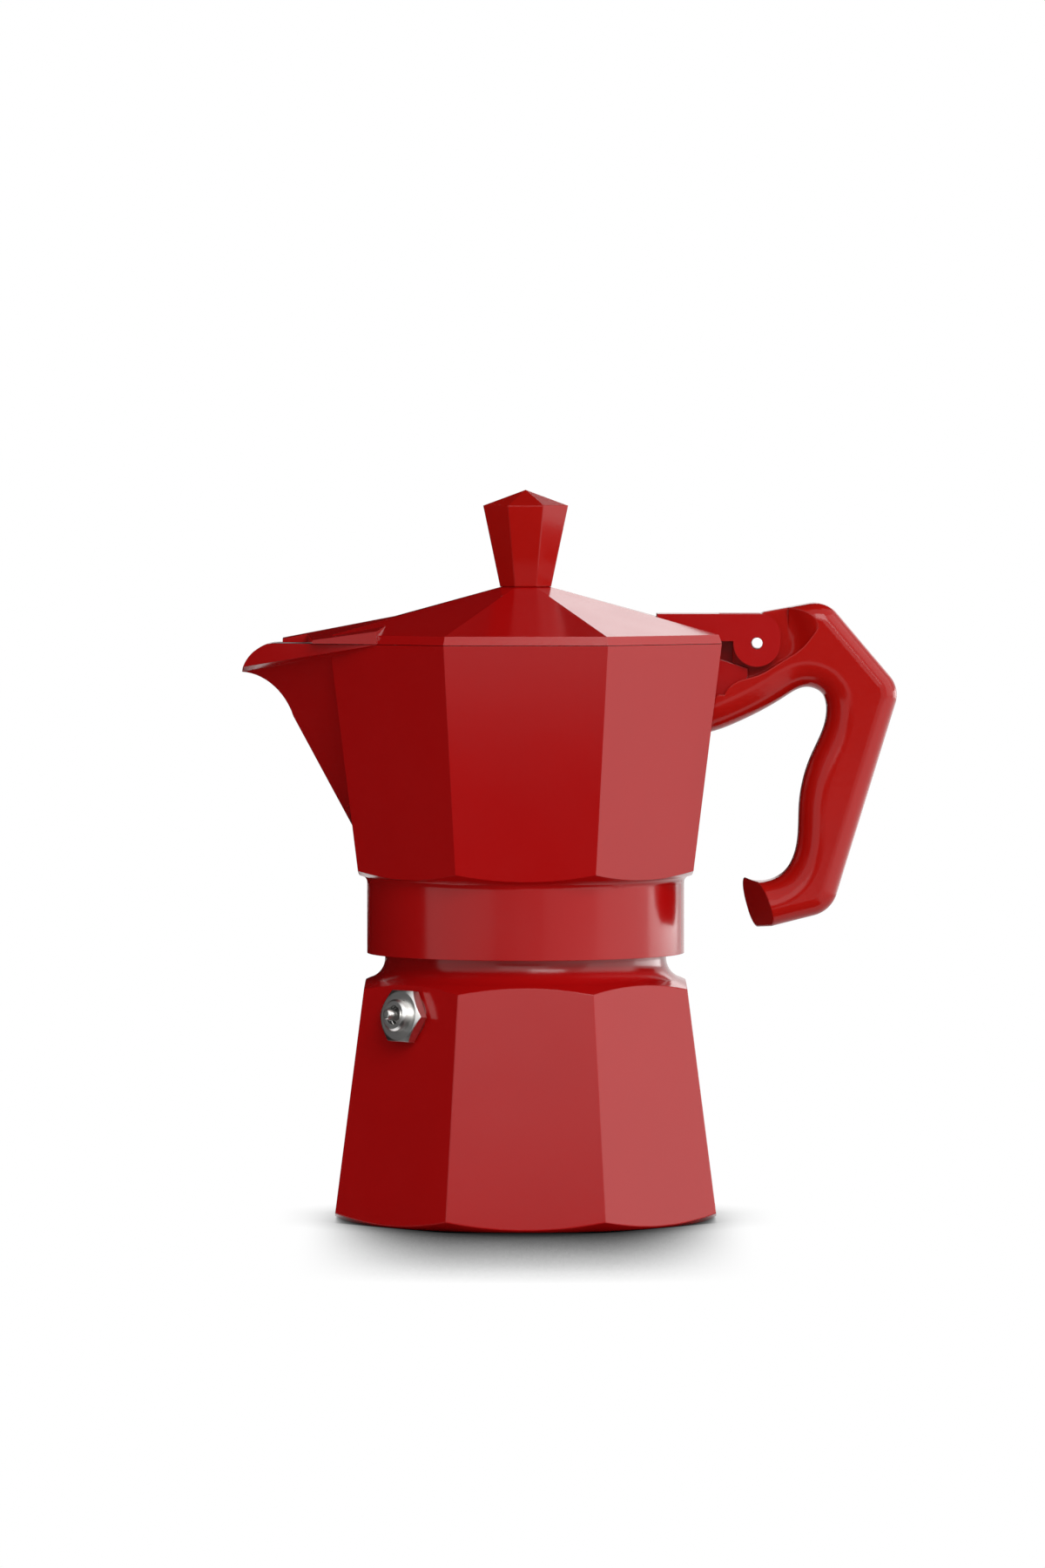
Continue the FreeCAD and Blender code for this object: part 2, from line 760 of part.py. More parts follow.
def make_lid():
    band = frustum(chamber_rim_apothem, lid_bottom, lid_band_apothem, lid_band_top)
    roof = frustum(lid_band_apothem, lid_band_top, lid_top_apothem, lid_top)
    tab_low = pin_z + ear_step_rise
    tab_left = pin_x - tab_root_reach
    tab_right = pin_x - ear_web_reach
    tab = outline(
        (tab_left, tab_low), (tab_right, tab_low),
        (tab_right, pin_z + ear_top_rise), (tab_left, pin_z + ear_top_rise))
    shell = band.fuse(roof).fuse(tongue_block(0, lid_bottom))
    shell = shell.fuse(slab(tab, -ear_outer_width, ear_outer_width))
    inner_apothem = lid_band_apothem - lid_wall
    inner_low = lid_under - (inner_apothem - lid_top_apothem) * lid_rise
    hollow = frustum(inner_apothem, chamber_rim_height - lid_wall, inner_apothem, inner_low)
    hollow = hollow.fuse(frustum(inner_apothem, inner_low, lid_top_apothem, lid_under))
    shell = shell.cut(hollow).cut(tongue_block(lid_wall, lid_bottom - lid_wall))
    ears = both_sides(slab(make_ear_outline(), ear_inner_width, ear_outer_width))
    shell = shell.fuse(ears)
    shell = shell.cut(cross_pin(pin_radius + pin_running_clearance, pin_x, pin_z, ear_outer_width))
    return shell.cut(cylinder(knob_screw_radius + press_clearance, lid_under, lid_top)).removeSplitter()


knob_top = lid_top + knob_side_height
insert_top = lid_top + knob_insert_height


def make_knob():
    sides = frustum(knob_foot_apothem, lid_top, knob_top_apothem, knob_top)
    peak = Part.Vertex(spot(0, knob_top + knob_point_height))
    point = Part.makeLoft([octagon(knob_top_apothem, knob_top), peak], True, True)
    socket = cylinder(knob_insert_radius + press_clearance, lid_top, insert_top)
    return sides.fuse(point).cut(socket)


def make_knob_insert():
    return cylinder(knob_insert_radius, lid_top, insert_top).cut(
        cylinder(knob_screw_radius + press_clearance, lid_top, insert_top))


def make_knob_washer():
    low = lid_under - knob_washer_thickness
    return cylinder(knob_washer_radius, low, lid_under).cut(
        cylinder(knob_screw_radius + press_clearance, low, lid_under))


def make_knob_screw():
    under_head = lid_under - knob_washer_thickness
    low = under_head - knob_screw_head_height
    round_end = (knob_screw_head_radius, under_head - knob_screw_head_height / 2)
    head = turned(
        (0, low),
        bow((0, low), round_end, -knob_screw_dome),
        (knob_screw_head_radius, under_head),
        (0, under_head),
    )
    slot = Part.makeBox(
        2 * knob_screw_head_radius, knob_screw_slot_width, knob_screw_slot_depth,
        FreeCAD.Vector(-knob_screw_head_radius, -knob_screw_slot_width / 2, low))
    shank = cylinder(knob_screw_radius, under_head, lid_top + knob_screw_grip)
    return head.cut(slot).fuse(shank)


# Hinge pin and handle
def make_hinge_pin():
    half = ear_outer_width + pin_proud
    pin = cross_pin(pin_radius, pin_x, pin_z, half)
    return pin.makeFillet(pin_dome, pin.Edges)


def rounded(before, corner, after, radius):
    """Start and arc step of a corner rounded by radius."""
    here = spot(*corner)
    back = (spot(*before) - here).normalize()
    ahead = (spot(*after) - here).normalize()
    half = back.getAngle(ahead) / 2
    trim = radius / math.tan(half)
    towards = (back + ahead).normalize()
    middle = here + towards * (radius / math.sin(half) - radius)
    start = here + back * trim
    end = here + ahead * trim
    return (start.x, start.z), ((middle.x, middle.z), (end.x, end.z))


def edges_beside(solid, guide, half_width):
    """Edges of a slab that run along a guide edge of its outline, on both side faces."""
    found = []
    for edge in solid.Edges:
        if edge.Degenerated:
            continue
        middle = edge.valueAt((edge.FirstParameter + edge.LastParameter) / 2)
        on_side = Part.Vertex(spot(middle.x, middle.z))
        if abs(abs(middle.y) - half_width) < 1e-6 and on_side.distToShape(guide)[0] < 1e-6:
            found.append(edge)
    return found


def make_recess():
    """Room on the front side for the swing of an ear: a bowl about the pin, above the raised lip."""
    floor = ear_inner_width - piece_clearance
    side = handle_half_width + piece_clearance
    scoop = []
    for step in range(recess_scoop_steps + 1):
        share = step / recess_scoop_steps
        radius = recess_floor_radius + share * (recess_brim_radius - recess_floor_radius)
        scoop.append((radius, floor + (side - floor) * (1 - math.cos(math.pi * share)) / 2))
    bowl = turned((0, floor), scoop[0], curve(scoop), (0, side))
    bowl.rotate(spot(0, 0), FreeCAD.Vector(1, 0, 0), 90)
    bowl.translate(spot(pin_x, pin_z))
    lip = [from_pin(point) for point in recess_lip_points]
    top = pin_z + recess_brim_radius
    left = pin_x - 2 * recess_brim_radius
    above_lip = outline(lip[0], curve(lip), (lip[-1][0], top), (left, top), (left, lip[0][1]))
    swing = pin_x + ear_top_rise + 2 * piece_clearance
    beside = outline(
        (left, lip[0][1]), (pin_x, lip[0][1]), (pin_x, pin_z),
        (swing, pin_z), (swing, top), (left, top))
    return bowl.fuse(slab(beside, -side, -floor)).common(slab(above_lip, -side, -floor))


def make_end_wedge(tail, hook):
    """Wedge that turns the end face of the hook towards the front."""
    along = (spot(*hook) - spot(*tail)).normalize()
    outward = FreeCAD.Vector(0, 1, 0).cross(along) * -1
    depth = 2 * handle_half_width * math.tan(math.radians(handle_end_turn))
    back = spot(*tail, y=handle_half_width)
    front = spot(*tail, y=-handle_half_width) - outward * depth
    run = front - back
    beyond = outward * 4 * depth
    corners = [back - run, front + run, front + run + beyond, back - run + beyond]
    length = (spot(*hook) - spot(*tail)).Length
    face = Part.Face(Part.makePolygon(corners + corners[:1]))
    return face.translated(along * -length).extrude(along * 3 * length)


def make_handle():
    front_top = from_pin(handle_front_top)
    crown = from_pin(handle_crown)
    elbow = from_pin(handle_elbow)
    heel = from_pin(handle_heel)
    tail = from_pin(handle_tail)
    hook = from_pin(handle_hook)
    foot = from_pin(handle_front_foot)
    crown_start, crown_arc = rounded(front_top, crown, elbow, handle_crown_round)
    elbow_start, elbow_arc = rounded(crown, elbow, heel, handle_elbow_round)
    heel_start, heel_arc = rounded(elbow, heel, tail, handle_heel_round)
    inner = curve([hook] + [from_pin(point) for point in handle_inner_points] + [foot])
    face = outline(
        front_top,
        crown_start, crown_arc,
        elbow_start, elbow_arc,
        heel_start, heel_arc,
        tail,
        hook,
        inner,
        from_pin(handle_front_lip),
        from_pin(handle_front_cheek),
        from_pin(handle_front_brow),
    )
    grip = slab(face, -handle_half_width, handle_half_width)
    outer_edges = []
    for guide in face.OuterWire.Edges:
        middle = guide.valueAt((guide.FirstParameter + guide.LastParameter) / 2)
        if isinstance(guide.Curve, Part.BSplineCurve) or middle.x < front_top[0]:
            continue
        outer_edges += edges_beside(grip, guide, handle_half_width)
    grip = grip.makeFillet(handle_outer_round, outer_edges)
    grip = grip.makeFillet(handle_inner_round, edges_beside(grip, inner, handle_half_width))
    room = frustum(
        chamber_bottom_apothem + handle_gap, chamber_bottom_height,
        chamber_rim_apothem + handle_gap, chamber_rim_height)
    grip = grip.cut(make_lug(lug_fit_clearance)).cut(both_sides(make_recess())).cut(room)
    grip = grip.cut(make_end_wedge(tail, hook))
    return grip.cut(cross_pin(pin_radius + press_clearance, pin_x, pin_z, handle_half_width))


NODES = {
    "boiler": make_boiler,
    "valve_body": make_valve_body,
    "valve_washer": make_valve_washer,
    "valve_seat": make_valve_seat,
    "valve_seal": make_valve_seal,
    "valve_piston": make_valve_piston,
    "valve_spring": make_valve_spring,
    "funnel": make_funnel,
    "funnel_tube": make_funnel_tube,
    "funnel_screen": make_funnel_screen,
    "gasket": make_gasket,
    "filter_plate": make_filter_plate,
    "upper_chamber": make_upper_chamber,
    "column": make_column,
    "lid": make_lid,
    "knob": make_knob,
    "knob_insert": make_knob_insert,
    "knob_washer": make_knob_washer,
    "knob_screw": make_knob_screw,
    "hinge_pin": make_hinge_pin,
    "handle": make_handle,
}

os.makedirs("parts", exist_ok=True)
for node, make in NODES.items():
    shape = make()
    solids = len(shape.Solids)
    print(node, "solids", solids, "valid", shape.isValid(), "volume", round(shape.Volume, 1))
    shape.exportStep("parts/" + node + ".step")
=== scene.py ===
# %% [markdown]
# # A red stovetop coffee pot
# The pot comes as a finished set of solids: two octagonal castings, a lid, a moulded handle and
# knob, a small safety valve and what works inside. This lesson gives each of them the finish of
# the real piece, winds the valve's spring, and then sets up a white studio to look at them.
# We load the solids first.

# %% Load the pot
import json
import math

import bpy
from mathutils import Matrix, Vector


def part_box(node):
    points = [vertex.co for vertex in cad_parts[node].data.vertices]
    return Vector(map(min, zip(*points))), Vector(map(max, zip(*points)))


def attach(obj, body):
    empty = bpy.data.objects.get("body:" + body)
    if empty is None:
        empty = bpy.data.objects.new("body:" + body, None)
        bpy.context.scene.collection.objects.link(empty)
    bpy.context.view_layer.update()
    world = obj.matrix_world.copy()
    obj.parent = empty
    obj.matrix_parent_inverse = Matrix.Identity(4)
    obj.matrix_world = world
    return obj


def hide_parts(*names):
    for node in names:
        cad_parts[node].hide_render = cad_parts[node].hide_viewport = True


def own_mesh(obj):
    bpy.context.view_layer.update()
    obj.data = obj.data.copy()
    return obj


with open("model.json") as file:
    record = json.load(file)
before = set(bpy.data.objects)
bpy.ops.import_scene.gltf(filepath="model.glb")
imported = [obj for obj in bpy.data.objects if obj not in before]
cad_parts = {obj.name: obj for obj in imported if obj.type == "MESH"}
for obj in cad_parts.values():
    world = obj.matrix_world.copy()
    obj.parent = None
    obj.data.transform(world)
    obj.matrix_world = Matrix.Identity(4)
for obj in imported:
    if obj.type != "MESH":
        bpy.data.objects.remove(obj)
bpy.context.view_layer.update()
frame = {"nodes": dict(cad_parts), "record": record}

mm = 0.001
solids = frame["nodes"]

# %% [markdown]
# ## A short way to write shader nodes
# A finish is a small tree of nodes. It could be clicked together in the shader editor, but in a
# script the same three lines come back for every node: make it, set its numbers, link its inputs.
# So we write that once. `place` makes a node, and `reckon` is a Math node on two values.

# %% Helpers for shader trees
def place(tree, kind, settings=None, **inputs):
    """Make a node; an input is a number, a colour or another node's output socket."""
    node = tree.nodes.new(kind)
    for name, value in (settings or {}).items():
        setattr(node, name, value)
    for name, value in inputs.items():
        plug(tree, node.inputs[name.replace("_", " ")], value)
    return node


def plug(tree, socket, value):
    if isinstance(value, bpy.types.NodeSocket):
        tree.links.new(value, socket)
    else:
        socket.default_value = value


def reckon(tree, operation, first, second=0.0):
    node = tree.nodes.new("ShaderNodeMath")
    node.operation = operation
    plug(tree, node.inputs[0], first)
    plug(tree, node.inputs[1], second)
    return node.outputs[0]


def mix(tree, share, first, second, kind="RGBA"):
    """Mix two colours or two numbers by a share from 0 to 1."""
    node = tree.nodes.new("ShaderNodeMix")
    node.data_type = kind
    places = {"RGBA": (6, 7, 2), "FLOAT": (2, 3, 0)}[kind]
    plug(tree, node.inputs[0], share)
    plug(tree, node.inputs[places[0]], first)
    plug(tree, node.inputs[places[1]], second)
    return node.outputs[places[2]]


def start_finish(name):
    """New material with its tree, its main shader and the coordinates of the piece at rest."""
    material = bpy.data.materials.new(name)
    material.use_nodes = True
    tree = material.node_tree
    shader = tree.nodes["Principled BSDF"]
    coords = place(tree, "ShaderNodeTexCoord")
    return material, tree, shader, coords


def grain(tree, coords, size, detail=3.0):
    """Noise whose patches are about `size` metres across, from 0 to 1."""
    noise = place(tree, "ShaderNodeTexNoise", Scale=1.0 / size, Detail=detail)
    tree.links.new(coords.outputs["Object"], noise.inputs["Vector"])
    return noise.outputs["Fac"]


def roughen(tree, shader, height, depth, edge_round=0.0):
    """Bump of a given depth in metres, over edges that catch the light as if slightly rounded."""
    bump = place(tree, "ShaderNodeBump", Strength=1.0, Distance=depth, Height=height)
    if edge_round:
        soft_edge = place(tree, "ShaderNodeBevel", {"samples": 6}, Radius=edge_round)
        tree.links.new(soft_edge.outputs["Normal"], bump.inputs["Normal"])
    tree.links.new(bump.outputs["Normal"], shader.inputs["Normal"])


print("helpers ready")

# %% [markdown]
# ## Red enamel over cast aluminium
# The two castings and the lid are sprayed red on the outside only. Inside, and where the foot and
# the neck are turned, the aluminium stays bare. The mask could be painted by hand, but the shapes
# tell us everything: a wall that faces the pot's axis is inside. We read the place and the normal
# of the piece itself, so the border stays put when the pot is opened. The enamel gets the slight
# waviness of sprayed paint, the bare metal gets the fine rings of a lathe.

# %% Inside and outside
enamel_red = (0.46, 0.0040, 0.0042, 1.0)
enamel_deep_red = (0.42, 0.0032, 0.0034, 1.0)
cast_grey = (0.62, 0.62, 0.63, 1.0)
turned_grey = (0.72, 0.72, 0.73, 1.0)
inward_limit = -0.8 * mm


def facing_parts(tree, coords):
    """Place, normal, distance from the axis and how far a face looks away from the axis."""
    where = place(tree, "ShaderNodeSeparateXYZ", Vector=coords.outputs["Object"]).outputs
    normal = place(tree, "ShaderNodeSeparateXYZ", Vector=coords.outputs["Normal"]).outputs
    across = reckon(tree, "POWER", where[0], 2.0)
    radius = reckon(tree, "SQRT", reckon(tree, "ADD", across, reckon(tree, "POWER", where[1], 2.0)))
    outward = reckon(tree, "MULTIPLY", where[0], normal[0])
    outward = reckon(tree, "ADD", outward, reckon(tree, "MULTIPLY", where[1], normal[1]))
    return where, normal, radius, outward


def both(tree, first, second):
    return reckon(tree, "MULTIPLY", first, second)


def either(tree, *shares):
    total = shares[0]
    for share in shares[1:]:
        total = reckon(tree, "MAXIMUM", total, share)
    return total


def below(tree, value, limit):
    return reckon(tree, "LESS_THAN", value, limit)


def above(tree, value, limit):
    return reckon(tree, "GREATER_THAN", value, limit)


print("ways to tell inside from outside ready")

# %% [markdown]
# Now the finish itself. It mixes paint and metal by a rule, and each casting brings its own rule
# for where it stays bare. The lid's edges are crisp, the other two are a little softer.

# %% Enamel
def enamel_finish(name, bare_where, edge_round):
    """Red enamel, with bare metal where the given rule says so."""
    material, tree, shader, coords = start_finish(name)
    where, normal, radius, outward = facing_parts(tree, coords)
    bare = bare_where(tree, where, normal, radius, outward)
    rings = reckon(tree, "SINE", reckon(tree, "MULTIPLY", radius, 2 * math.pi / (0.55 * mm)))
    red = mix(tree, grain(tree, coords, 22 * mm), enamel_red, enamel_deep_red)
    grey = mix(tree, grain(tree, coords, 3 * mm), cast_grey, turned_grey)
    tree.links.new(mix(tree, bare, red, grey), shader.inputs["Base Color"])
    tree.links.new(bare, shader.inputs["Metallic"])
    gloss = mix(tree, grain(tree, coords, 9 * mm), 0.13, 0.19, "FLOAT")
    satin = mix(tree, grain(tree, coords, 1.5 * mm), 0.34, 0.46, "FLOAT")
    tree.links.new(mix(tree, bare, gloss, satin, "FLOAT"), shader.inputs["Roughness"])
    waves = mix(tree, grain(tree, coords, 1.6 * mm, 1.0), 0.0, 0.5, "FLOAT")
    tooling = reckon(tree, "ADD", reckon(tree, "MULTIPLY", rings, 0.5), grain(tree, coords, 0.6 * mm))
    roughen(tree, shader, mix(tree, bare, waves, tooling, "FLOAT"), 0.012 * mm, edge_round)
    shader.inputs["IOR"].default_value = 1.4
    return material


def bare_boiler(tree, where, normal, radius, outward):
    inside = below(tree, outward, inward_limit)
    floor = both(tree, above(tree, normal[2], 0.5), below(tree, where[2], 20 * mm))
    foot = both(tree, below(tree, normal[2], -0.5), below(tree, radius, 41 * mm))
    return either(tree, inside, floor, foot, above(tree, where[2], 60.3 * mm))


def bare_chamber(tree, where, normal, radius, outward):
    inside = both(tree, below(tree, outward, -6 * mm), below(tree, radius, 58 * mm))
    return either(tree, inside, below(tree, radius, 34.2 * mm))


def bare_lid(tree, where, normal, radius, outward):
    skirt = both(tree, below(tree, outward, inward_limit), below(tree, where[2], 130 * mm))
    under = either(tree, skirt, below(tree, normal[2], -0.15))
    return both(tree, under, below(tree, where[0], 43 * mm))


def dress(node, material):
    mesh = solids[node].data
    mesh.materials.clear()
    mesh.materials.append(material)


dress("boiler", enamel_finish("enamel_boiler", bare_boiler, 0.45 * mm))
dress("upper_chamber", enamel_finish("enamel_upper_chamber", bare_chamber, 0.2 * mm))
dress("lid", enamel_finish("enamel_lid", bare_lid, 0.0))
print("enamelled: boiler, upper_chamber, lid")

# %% [markdown]
# ## Moulded red plastic
# Handle and knob are pressed from a hard glossy plastic in nearly the same red. A plain shader
# would look like a toy, so the colour drifts a little along the grip as the filler does in the
# mould, and the gloss is broken by a very fine skin.

# %% Plastic of the handle and the knob
plastic_red = (0.47, 0.0075, 0.0045, 1.0)
plastic_deep_red = (0.42, 0.0055, 0.0035, 1.0)


def moulded_finish(name):
    material, tree, shader, coords = start_finish(name)
    red = mix(tree, grain(tree, coords, 14 * mm), plastic_red, plastic_deep_red)
    tree.links.new(red, shader.inputs["Base Color"])
    gloss = mix(tree, grain(tree, coords, 5 * mm), 0.11, 0.17, "FLOAT")
    tree.links.new(gloss, shader.inputs["Roughness"])
    roughen(tree, shader, grain(tree, coords, 0.9 * mm), 0.010 * mm, 0.5 * mm)
    shader.inputs["IOR"].default_value = 1.36
    return material


moulded = moulded_finish("moulded_red")
for node in ("handle", "knob"):
    dress(node, moulded)
print("moulded: handle, knob")

# %% [markdown]
# ## Steel, brass and bare aluminium
# The valve is turned from steel, the insert in the knob from brass, and funnel, filter plate and
# column are thin aluminium. One function makes all of them: only colour, roughness and the size
# of the tool marks change from metal to metal.

# %% Metals
def metal_finish(name, light, dark, gloss, satin, mark_size, mark_depth):
    material, tree, shader, coords = start_finish(name)
    colour = mix(tree, grain(tree, coords, 4 * mark_size), light + (1.0,), dark + (1.0,))
    tree.links.new(colour, shader.inputs["Base Color"])
    tree.links.new(mix(tree, grain(tree, coords, 2 * mark_size), gloss, satin, "FLOAT"), shader.inputs["Roughness"])
    shader.inputs["Metallic"].default_value = 1.0
    roughen(tree, shader, grain(tree, coords, mark_size), mark_depth, 0.12 * mm)
    return material


metals = {
    "valve_steel": ((0.86, 0.85, 0.83), (0.82, 0.81, 0.79), 0.29, 0.34, 0.5 * mm, 0.002 * mm),
    "spring_steel": ((0.70, 0.69, 0.67), (0.58, 0.57, 0.56), 0.22, 0.34, 0.3 * mm, 0.004 * mm),
    "washer_steel": ((0.55, 0.54, 0.52), (0.44, 0.43, 0.42), 0.25, 0.40, 0.4 * mm, 0.005 * mm),
    "pin_steel": ((0.94, 0.94, 0.94), (0.90, 0.90, 0.90), 0.42, 0.52, 0.6 * mm, 0.003 * mm),
    "brass": ((0.70, 0.50, 0.20), (0.60, 0.41, 0.15), 0.22, 0.34, 0.5 * mm, 0.005 * mm),
    "sheet_aluminium": ((0.74, 0.74, 0.75), (0.66, 0.66, 0.67), 0.28, 0.42, 0.8 * mm, 0.008 * mm),
}
metals = {name: metal_finish(name, *facts) for name, facts in metals.items()}
metal_of = {
    "valve_steel": ("valve_body", "valve_piston", "valve_seat"),
    "washer_steel": ("valve_washer", "knob_washer", "knob_screw"),
    "pin_steel": ("hinge_pin",),
    "brass": ("knob_insert",),
    "sheet_aluminium": ("funnel", "funnel_tube", "funnel_screen", "filter_plate", "column"),
}
for name, nodes in metal_of.items():
    for node in nodes:
        dress(node, metals[name])
print("metals:", ", ".join(metals))

# %% [markdown]
# ## Soft seals
# The gasket between the halves and the little ring on the valve's piston are pale rubber: dull,
# slightly mottled, with a fine skin.

# %% Rubber
rubber_pale = (0.66, 0.62, 0.54, 1.0)
rubber_stained = (0.55, 0.50, 0.42, 1.0)


def rubber_finish(name):
    material, tree, shader, coords = start_finish(name)
    colour = mix(tree, grain(tree, coords, 6 * mm), rubber_pale, rubber_stained)
    tree.links.new(colour, shader.inputs["Base Color"])
    tree.links.new(mix(tree, grain(tree, coords, 2 * mm), 0.5, 0.7, "FLOAT"), shader.inputs["Roughness"])
    roughen(tree, shader, grain(tree, coords, 0.5 * mm), 0.02 * mm, 0.2 * mm)
    return material


rubber = rubber_finish("rubber")
for node in ("gasket", "valve_seal"):
    dress(node, rubber)
print("rubber: gasket, valve_seal")

# %% [markdown]
# ## The valve's spring
# The spring is one steel wire wound round the piston's stem. It could be a curve with a bevel, but
# a swept mesh lets us close the ends: the last half turns lie flat, as on a ground spring.
# Its length and its radius come from the solid that it stands for, so we measure that first: how
# far the coil reaches along the valve's axis, and how far the wire runs from it. The wire's
# thickness and the number of turns are given.

# %% Measure the spring
valve_axis = Vector(next(j["axis"] for j in frame["record"]["behaviour"]["joints"] if j["name"] == "valve_pop"))
valve_axis.normalize()
wire_radius = 0.25 * mm
coil_turns = 6


def middle_of(node):
    low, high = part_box(node)
    return (low + high) / 2


def measure_coil(node):
    """Two ends of the coil's axis and the radius of the wire's centre line."""
    base = middle_of("valve_washer")
    reach = []
    radii = []
    for vertex in solids[node].data.vertices:
        along = (vertex.co - base).dot(valve_axis)
        reach.append(along)
        radii.append((vertex.co - base - valve_axis * along).length)
    low = base + valve_axis * (min(reach) + wire_radius)
    high = base + valve_axis * (max(reach) - wire_radius)
    return low, high, max(radii) - wire_radius


coil_low, coil_high, coil_radius = measure_coil("valve_spring")
coil_length = (coil_high - coil_low).length
print("coil:", round(coil_length / mm, 2), "mm long, radius", round(coil_radius / mm, 2), "mm")

# %% [markdown]
# Now the wire: rings of points follow the coil, and each ring is joined to the next.

# %% Wind the spring
closed_turns = 0.75
rings_per_turn = 40
sides_of_wire = 12


def rise_share(turn):
    """Share of the climb after some turns: slow in the closed end turns, even between them."""
    slow = 2 * wire_radius * 1.04
    start = min(turn, closed_turns) * slow
    end = max(0.0, turn - (coil_turns - closed_turns)) * slow
    between = max(0.0, min(turn, coil_turns - closed_turns) - closed_turns)
    climb = (coil_length - 2 * closed_turns * slow) / (coil_turns - 2 * closed_turns)
    return (start + end + between * climb) / coil_length


side_one = valve_axis.orthogonal().normalized()
side_two = valve_axis.cross(side_one)
points = []
faces = []
ring_count = coil_turns * rings_per_turn + 1
for ring in range(ring_count):
    turn = ring / rings_per_turn
    angle = 2 * math.pi * turn
    outward = side_one * math.cos(angle) + side_two * math.sin(angle)
    centre = coil_low + (coil_high - coil_low) * rise_share(turn) + outward * coil_radius
    for side in range(sides_of_wire):
        round_angle = 2 * math.pi * side / sides_of_wire
        offset = outward * math.cos(round_angle) + valve_axis * math.sin(round_angle)
        points.append(centre + offset * wire_radius)
for ring in range(ring_count - 1):
    for side in range(sides_of_wire):
        here = ring * sides_of_wire + side
        beside = ring * sides_of_wire + (side + 1) % sides_of_wire
        faces.append((here, beside, beside + sides_of_wire, here + sides_of_wire))
faces.append(tuple(reversed(range(sides_of_wire))))
faces.append(tuple(range((ring_count - 1) * sides_of_wire, ring_count * sides_of_wire)))
spring_mesh = bpy.data.meshes.new("wound_spring")
spring_mesh.from_pydata(points, [], faces)
spring_mesh.shade_smooth()
spring_mesh.materials.append(metals["spring_steel"])
wound_spring = bpy.data.objects.new("wound_spring", spring_mesh)
bpy.context.scene.collection.objects.link(wound_spring)
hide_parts("valve_spring")
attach(wound_spring, "boiler_half")
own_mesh(wound_spring)
print("spring:", coil_turns, "turns over", round(coil_length / mm, 2), "mm")

# %% [markdown]
# ## A white table
# The pot stands on a white table in front of white paper. A lit white sheet never comes out evenly
# white, so for the eye and for reflections the table glows by itself, with a painted shadow: the
# glow is dimmed wherever the pot hides the bright paper behind and above it, leaned to fall forward
# as from a light behind the pot, and faded out by a formula at the sides and the back. For the light
# that it throws back on the pot it stays an ordinary pale sheet with a fine paper grain.

# %% Table and background
table_size = 8.0
table_white = (0.62, 0.62, 0.62, 1.0)
table_black = (0.0, 0.0, 0.0, 1.0)
# The painted shadow: how dark it gets, how far it reaches, its backward lean and where it fades out.
shadow_depth = 4.5
shadow_reach = 0.12
shadow_lean = (0.0, 0.6, 0.8)
shadow_sides = (14 * mm, 50 * mm)
shadow_back = (-30 * mm, 30 * mm)
contact_depth = 0.5
contact_reach = 14 * mm


def sees_background(tree):
    """1 for rays of the camera, of a reflection or through glass, 0 for the light itself."""
    path = place(tree, "ShaderNodeLightPath").outputs
    return either(tree, path["Is Camera Ray"], path["Is Glossy Ray"], path["Is Transmission Ray"])


def fade(tree, value, full, gone):
    """1 up to the first limit, then smoothly down to 0 at the second."""
    slope = place(tree, "ShaderNodeMapRange", {"interpolation_type": "SMOOTHSTEP"}, Value=value,
                  From_Min=full, From_Max=gone, To_Min=1.0, To_Max=0.0)
    return slope.outputs["Result"]


def sheet(name, corners, material):
    mesh = bpy.data.meshes.new(name)
    mesh.from_pydata([Vector(corner) for corner in corners], [], [(0, 1, 2, 3)])
    mesh.materials.append(material)
    made = bpy.data.objects.new(name, mesh)
    bpy.context.scene.collection.objects.link(made)
    return made


def table_finish():
    material, tree, shader, coords = start_finish("white_table")
    seen = sees_background(tree)
    lean = place(tree, "ShaderNodeCombineXYZ", X=shadow_lean[0], Y=shadow_lean[1], Z=shadow_lean[2])
    # Painted shadow: a leaned and a short ambient occlusion darken the glow, faded at the sides and behind.
    open_sky = place(tree, "ShaderNodeAmbientOcclusion", {"samples": 16}, Distance=shadow_reach)
    tree.links.new(lean.outputs["Vector"], open_sky.inputs["Normal"])
    where = place(tree, "ShaderNodeSeparateXYZ", Vector=coords.outputs["Object"]).outputs
    beside = fade(tree, reckon(tree, "ABSOLUTE", where[0]), *shadow_sides)
    behind = fade(tree, where[1], *shadow_back)
    depth = reckon(tree, "MULTIPLY", reckon(tree, "MULTIPLY", beside, behind), shadow_depth)
    cast = reckon(tree, "POWER", open_sky.outputs["AO"], depth)
    near = place(tree, "ShaderNodeAmbientOcclusion", {"samples": 16}, Distance=contact_reach)
    glow = reckon(tree, "MULTIPLY", cast, reckon(tree, "POWER", near.outputs["AO"], contact_depth))
    tree.links.new(mix(tree, seen, table_white, table_black), shader.inputs["Base Color"])
    tree.links.new(reckon(tree, "MULTIPLY", seen, glow), shader.inputs["Emission Strength"])
    shader.inputs["Roughness"].default_value = 0.9
    shader.inputs["Specular IOR Level"].default_value = 0.0
    shader.inputs["Emission Color"].default_value = (1.0, 1.0, 1.0, 1.0)
    roughen(tree, shader, grain(tree, coords, 1.2 * mm), 0.02 * mm)
    return material


half = table_size / 2
sheet("table", [(-half, -half, 0), (half, -half, 0), (half, half, 0), (-half, half, 0)], table_finish())

surround_light = 0.32
world = bpy.data.worlds.new("white_paper")
world.use_nodes = True
bpy.context.scene.world = world
paper = world.node_tree.nodes["Background"]
paper.inputs["Color"].default_value = (1.0, 1.0, 1.0, 1.0)
shown = sees_background(world.node_tree)
strength = mix(world.node_tree, shown, surround_light, 1.0, "FLOAT")
world.node_tree.links.new(strength, paper.inputs["Strength"])
print("table and paper ready")

